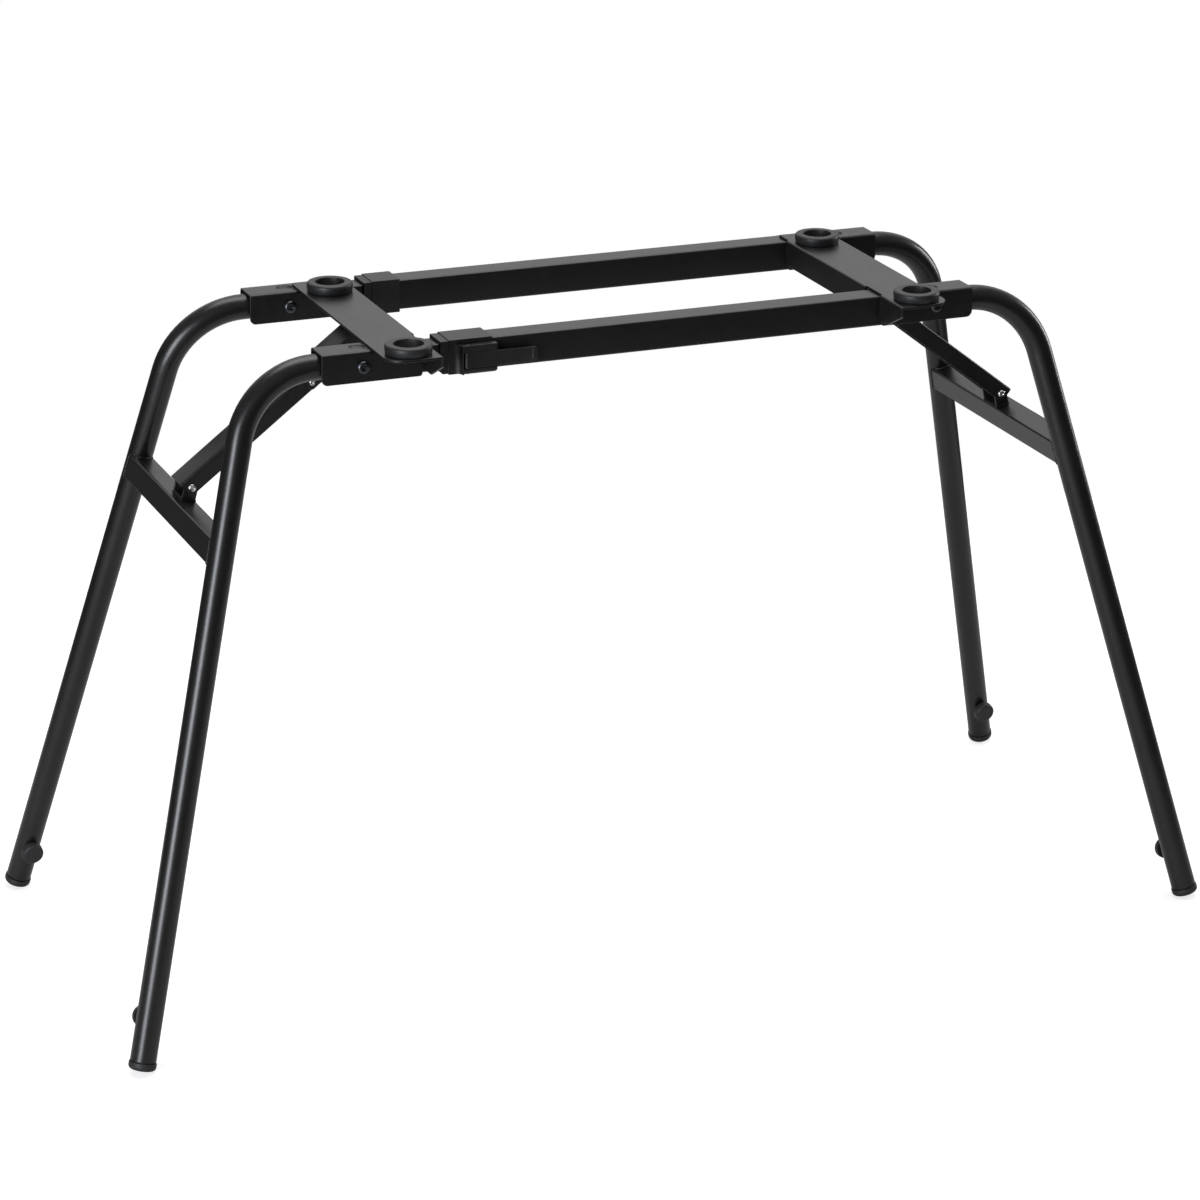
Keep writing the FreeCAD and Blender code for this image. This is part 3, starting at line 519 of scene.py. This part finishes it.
# pads: open rubber rings with a lip under the plate, a rounded shoulder and a dark line where
# they lie on it; all in mm, heights above the plate
pad = {"bore": 14.25, "neck": 16.25, "radius": 22.5, "height": 9.5, "shoulder": 2.6, "mouth": 0.9,
       "lip": 17.0, "lipLow": -4.7, "lipHigh": -2.5,
       "lipEdge": 0.1, "lipCorner": 0.6, "boreCorner": 0.5,
       "wall": ((-1.3, 0.0), (-1.2, 0.35), (-0.55, 0.75), (-0.3, 1.3),  # outwards from the radius
                (-0.25, 2.9), (-0.13, 3.4), (0.0, 3.85)),
       "inside": ((0.0, 4.9), (0.5, 4.4), (0.5, 1.2), (0.0, 0.8)),  # outwards from the bore
       "segments": 96, "shoulderSteps": 8, "mouthSteps": 4}


def padProfile():
    # once round the section, from the lip up the outside and down the bore
    bore, lip, low, high = pad["bore"], pad["lip"], pad["lipLow"], pad["lipHigh"]
    shoulder, mouth = pad["shoulder"], pad["mouth"]
    points = [(bore + pad["boreCorner"], low), (lip - pad["lipCorner"], low),
              (lip, low + pad["lipCorner"]), (lip, high - pad["lipEdge"]),
              (pad["neck"], high), (pad["neck"], 0.0)]
    points += [(pad["radius"] + out, height) for out, height in pad["wall"]]
    points += corner(pad["radius"] - shoulder, pad["height"] - shoulder, shoulder, 0, 90,
                     pad["shoulderSteps"])
    points += corner(bore + mouth, pad["height"] - mouth, mouth, 90, 180, pad["mouthSteps"])
    points += [(bore + out, height) for out, height in pad["inside"]]
    points += [(bore, low + pad["boreCorner"]), points[0]]
    return [(radius * mm, height * mm) for radius, height in points]


for side in sides:
    for place in places:
        nodeName = f"{side}_pad_{place}"
        low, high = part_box(nodeName)
        seat = Vector(((low.x + high.x) / 2, (low.y + high.y) / 2, high.z - pad["height"] * mm))
        ring = turned(padProfile(), seat, (0, 0, 1), pad["segments"], closed=True)
        settle(ring, nodeName + "_moulded", bodyOf(nodeName), "pad_rubber", [nodeName])
print("pads: 4 pieces")


# the legs' line: level at the pivot, then a bend, then straight, leaning out and splayed
leg = {"pivotZ": 633 * mm, "gauge": 109 * mm, "bendStart": 341 * mm, "bendRadius": 80 * mm,
       "lean": 13.8, "splay": 10.95}
lean, splay = math.radians(leg["lean"]), math.radians(leg["splay"])


def downLeg(wayX, wayY):
    return Vector((wayX * math.sin(lean), wayY * math.sin(splay) * math.cos(lean),
                   -math.cos(splay) * math.cos(lean)))


def legLine(wayX, wayY, height):
    # the middle of a leg's straight run at a height
    turn = math.pi / 2 - lean
    drop = leg["bendRadius"] * (1 - math.cos(turn))
    x = leg["bendStart"] + leg["bendRadius"] * math.sin(turn)
    start = Vector((wayX * x, wayY * (leg["gauge"] + drop * math.sin(splay)),
                    leg["pivotZ"] - drop * math.cos(splay)))
    down = downLeg(wayX, wayY)
    return start + down * ((start.z - height) / -down.z)


# foot caps: a dark gap under the tube, then a rounded rubber rim with a shallow dish in its sole
foot = {"radius": 13.3 * mm, "length": 9.0 * mm, "rounding": 4.0 * mm, "topRounding": 0.6 * mm,
        "gap": 1.3 * mm, "gapRadius": 10.6 * mm, "stem": 14 * mm,
        "dish": ((6 * mm, 0.2 * mm), (2 * mm, 0.2 * mm)),  # radius and depth
        "segments": 64, "topSteps": 4, "soleSteps": 9}


def capHeight():
    # how high the tube stops above the floor, with the leaning cap's lowest point on it
    tilt = math.acos(math.cos(lean) * math.cos(splay))
    return ((foot["length"] - foot["rounding"]) * math.cos(tilt)
            + (foot["radius"] - foot["rounding"]) * math.sin(tilt) + foot["rounding"])


def capProfile():
    # from the stem in the tube down to the sole
    radius, top, sole = foot["radius"], foot["topRounding"], foot["rounding"]
    points = [(foot["gapRadius"], -foot["stem"]), (foot["gapRadius"], foot["gap"]),
              (radius - top, foot["gap"])]
    points += corner(radius - top, foot["gap"] + top, top, -90, 0, foot["topSteps"])[1:]
    points += corner(radius - sole, foot["length"] - sole, sole, 0, 90, foot["soleSteps"])
    return points + [(across, foot["length"] - depth) for across, depth in foot["dish"]]


for side, wayX in sides.items():
    for place, wayY in places.items():
        nodeName = f"{side}_foot_cap_{place}"
        top = legLine(wayX, wayY, capHeight())
        cap = turned(capProfile(), top, downLeg(wayX, wayY), foot["segments"])
        settle(cap, nodeName + "_grooved", bodyOf(nodeName), "cap_rubber", [nodeName])
print("foot caps: 4 pieces")


weld = {"radius": 1.0 * mm, "small": 0.8 * mm, "step": 0.55 * mm, "corner": 1.2 * mm,
        "ripple": 0.22, "rippleLength": 2.2 * mm, "waver": 0.7, "waverRate": 0.37,
        "clevisLength": 14 * mm, "clevisShift": -3.5 * mm,
        "resolution": 3, "cornerSteps": 4}
# the crossbar that the beads go round, and the leg's tube
bar = {"height": 25 * mm, "depth": 24 * mm, "corner": 2 * mm,
       "middle": leg["pivotZ"] - 161.2 * mm, "tubeRadius": 12.5 * mm}


def beadAlong(points, radius):
    # a closed bead with the ripples of its pool, laid along points
    curve = bpy.data.curves.new("bead", "CURVE")
    curve.dimensions = "3D"
    curve.bevel_depth = radius
    curve.bevel_resolution = weld["resolution"]
    spline = curve.splines.new("POLY")
    spline.points.add(len(points) - 1)
    spline.use_cyclic_u = True
    run = 0.0
    for i, point in enumerate(points):
        if i:
            run += (point - points[i - 1]).length
        phase = 2 * math.pi * run / weld["rippleLength"]
        wave = math.sin(phase + weld["waver"] * math.sin(phase * weld["waverRate"]))
        spline.points[i].co = (*point, 1)
        spline.points[i].radius = 1 + weld["ripple"] * wave
    bead = bpy.data.objects.new("bead", curve)
    bpy.context.scene.collection.objects.link(bead)
    pick(bead)
    bpy.ops.object.convert(target="MESH")
    bpy.ops.object.shade_smooth()
    return bpy.context.object


def roundedOutline(width, height, radius):
    # points round a rectangle with round corners, a step apart
    halfW, halfH = width / 2 - radius, height / 2 - radius
    arcs = ((halfW, halfH, 0), (-halfW, halfH, 90), (-halfW, -halfH, 180), (halfW, -halfH, 270))
    knots = []
    for x, y, start in arcs:
        knots += corner(x, y, radius, start, start + 90, weld["cornerSteps"])
    points = []
    for a, b in zip(knots, knots[1:] + knots[:1]):
        count = max(1, round(math.dist(a, b) / weld["step"]))
        points += [(a[0] + (b[0] - a[0]) * i / count, a[1] + (b[1] - a[1]) * i / count)
                   for i in range(count)]
    return points


def barAxes(wayX):
    # up and outwards in the crossbar's leaning section
    barLean = math.atan(math.tan(lean) / math.cos(splay))
    up = Vector((-wayX * math.sin(barLean), 0, math.cos(barLean)))
    out = Vector((wayX * math.cos(barLean), 0, math.sin(barLean)))
    return up, out


def crossbarBead(side, wayX, place, wayY):
    # round the end of the crossbar, where lines along Y from its outline meet the tube
    down = downLeg(wayX, wayY)
    middle = legLine(wayX, wayY, bar["middle"])
    up, out = barAxes(wayX)
    way = Vector((0, wayY, 0))
    points = []
    for u, v in roundedOutline(bar["depth"], bar["height"], bar["corner"]):
        start = Vector((middle.x, 0, bar["middle"])) + out * u + up * v
        offset = start - middle
        a = 1 - way.dot(down) ** 2
        b = 2 * (offset.dot(way) - offset.dot(down) * way.dot(down))
        c = offset.length_squared - offset.dot(down) ** 2 - bar["tubeRadius"] ** 2
        under = b * b - 4 * a * c
        run = (-b - math.sqrt(max(under, 0))) / (2 * a)
        points.append(start + way * run)
    bead = beadAlong(points, weld["radius"])
    settle(bead, f"{side}_{place}_crossbar_weld", side + "_legs", "black_tube_coat")


def clevisBead(side, wayX):
    # round the foot of the clevis, on the leaning top of the crossbar
    low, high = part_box(side + "_clevis")
    small = weld["small"]
    up, out = barAxes(wayX)
    seat = Vector((legLine(wayX, 1, bar["middle"]).x, 0, bar["middle"]))
    seat += up * (bar["height"] / 2 + small / 2) + out * weld["clevisShift"]
    outline = roundedOutline(weld["clevisLength"] + small, high.y - low.y - small, weld["corner"])
    bead = beadAlong([seat + out * u + Vector((0, v, 0)) for u, v in outline], small)
    settle(bead, side + "_clevis_weld", side + "_legs", "black_tube_coat")


def hangerBead(side):
    # round the top of the hanger, under the cross plate
    low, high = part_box(side + "_hanger")
    small = weld["small"]
    centre = Vector(((low.x + high.x) / 2, 0, high.z - small / 2))
    outline = roundedOutline(high.x - low.x + small, high.y - low.y + small, weld["corner"])
    bead = beadAlong([centre + Vector((u, v, 0)) for u, v in outline], small)
    settle(bead, side + "_hanger_weld", bodyOf(side + "_hanger"), "black_sheet_coat")


for side, wayX in sides.items():
    clevisBead(side, wayX)
    hangerBead(side)
    for place, wayY in places.items():
        crossbarBead(side, wayX, place, wayY)
print("weld beads: 8 pieces")


# a studio that is bright behind, soft above and dim in front; its own background is white
stage = {"floorRadius": 1.45, "floorSides": 128, "floorShade": 0.62, "seenFill": 0.68,
         "glossyShare": 0.08, "upper": 0.196, "upperRise": (0.05, 0.6), "skyline": (0.0, 0.24)}
# a glow lies round a direction, from one cosine off it to another, where it is full
glows = {"back": {"way": (0.36, 0.87, 0.33), "spread": (0.66, 0.97), "strength": 0.826},
         "frontLeft": {"way": (-0.79, -0.61, -0.05), "spread": (0.55, 0.96), "strength": 0.435}}


def makeFloor():
    deselectAll()
    bpy.ops.mesh.primitive_circle_add(vertices=stage["floorSides"], radius=stage["floorRadius"],
                                      fill_type="NGON", location=(0, 0, 0))
    floor = bpy.context.object
    floor.name = "studioFloor"
    material = bpy.data.materials.new("paleFloor")
    material.use_nodes = True
    tree = material.node_tree
    tree.nodes.clear()
    maker = NodeMaker(tree)
    seen = maker.seenRays(stage["glossyShare"])
    shaded = maker.add("ShaderNodeBsdfDiffuse", None, {"Color": grey(stage["floorShade"])})
    white = maker.add("ShaderNodeEmission", None, {"Strength": seen * stage["seenFill"]})
    both = maker.add("ShaderNodeAddShader", None, {0: shaded, 1: white})
    end = tree.nodes.new("ShaderNodeOutputMaterial")
    tree.links.new(both.socket, end.inputs["Surface"])
    floor.data.materials.append(material)


def makeWorld():
    world = bpy.data.worlds.new("studio")
    bpy.context.scene.world = world
    world.use_nodes = True
    tree = world.node_tree
    tree.nodes.clear()
    maker = NodeMaker(tree)
    way = maker.add("ShaderNodeTexCoord", output=0)
    height = maker.add("ShaderNodeSeparateXYZ", None, {0: way}, output=2)

    def glow(name):
        near = maker.add("ShaderNodeVectorMath", {"operation": "DOT_PRODUCT"},
                         {0: way, 1: Vector(glows[name]["way"]).normalized()}, output=1)
        return maker.smoothStep(near, *glows[name]["spread"])

    high = maker.smoothStep(height, *stage["upperRise"])
    above = maker.smoothStep(height, *stage["skyline"])
    level = high * stage["upper"]
    level += glow("back") * above * glows["back"]["strength"]
    level += glow("frontLeft") * (1 - above) * glows["frontLeft"]["strength"]
    soft = maker.add("ShaderNodeBackground", None, {"Color": (1, 1, 1, 1), "Strength": level})
    white = maker.add("ShaderNodeBackground", None, {"Color": (1, 1, 1, 1), "Strength": 1.0})
    seen = maker.seenRays(stage["glossyShare"])
    both = maker.add("ShaderNodeMixShader", None, {0: seen, 1: soft, 2: white})
    end = tree.nodes.new("ShaderNodeOutputWorld")
    tree.links.new(both.socket, end.inputs["Surface"])


lamps = {
    "overhead": {"place": (0.2, 0.45, 2.9), "aim": (0, 0, 0.3), "size": (2.4, 1.6),
                 "watts": 44, "colour": (1.0, 1.0, 1.0)},
    "rightBox": {"place": (2.95, 0.50, 0.98), "aim": (0.4, 0, 0.6), "size": (0.5, 1.2),
                 "watts": 21, "colour": (1.0, 1.0, 1.02)},
    "leftBox": {"place": (-2.95, -2.15, 1.00), "aim": (-0.3, 0, 0.6), "size": (1.35, 1.8),
                "watts": 92, "colour": (0.95, 0.98, 1.05)},
}


def makeLamps():
    for name, lamp in lamps.items():
        light = bpy.data.lights.new(name, "AREA")
        light.shape = "RECTANGLE"
        light.size, light.size_y = lamp["size"]
        light.energy = lamp["watts"]
        light.color = lamp["colour"]
        holder = bpy.data.objects.new(name, light)
        holder.location = lamp["place"]
        aim = Vector(lamp["aim"]) - Vector(lamp["place"])
        holder.rotation_euler = aim.to_track_quat("-Z", "Y").to_euler()
        holder.visible_camera = False
        bpy.context.scene.collection.objects.link(holder)


camera = {"place": (-1.46857, -3.52847, 1.72054), "turn": (69.8777, -0.5646, -22.3237),  # degrees
          "lens": 120.698, "sensor": 36, "clip": (0.1, 60)}


def makeCamera():
    eye = bpy.data.cameras.new("camera")
    eye.lens = camera["lens"]
    eye.sensor_width = camera["sensor"]
    eye.clip_start, eye.clip_end = camera["clip"]
    holder = bpy.data.objects.new("camera", eye)
    holder.location = camera["place"]
    holder.rotation_euler = [math.radians(a) for a in camera["turn"]]
    bpy.context.scene.collection.objects.link(holder)
    bpy.context.scene.camera = holder


makeFloor()
makeWorld()
makeLamps()
makeCamera()
bpy.context.scene.view_settings.view_transform = "Standard"
print("stage, light and camera are set")
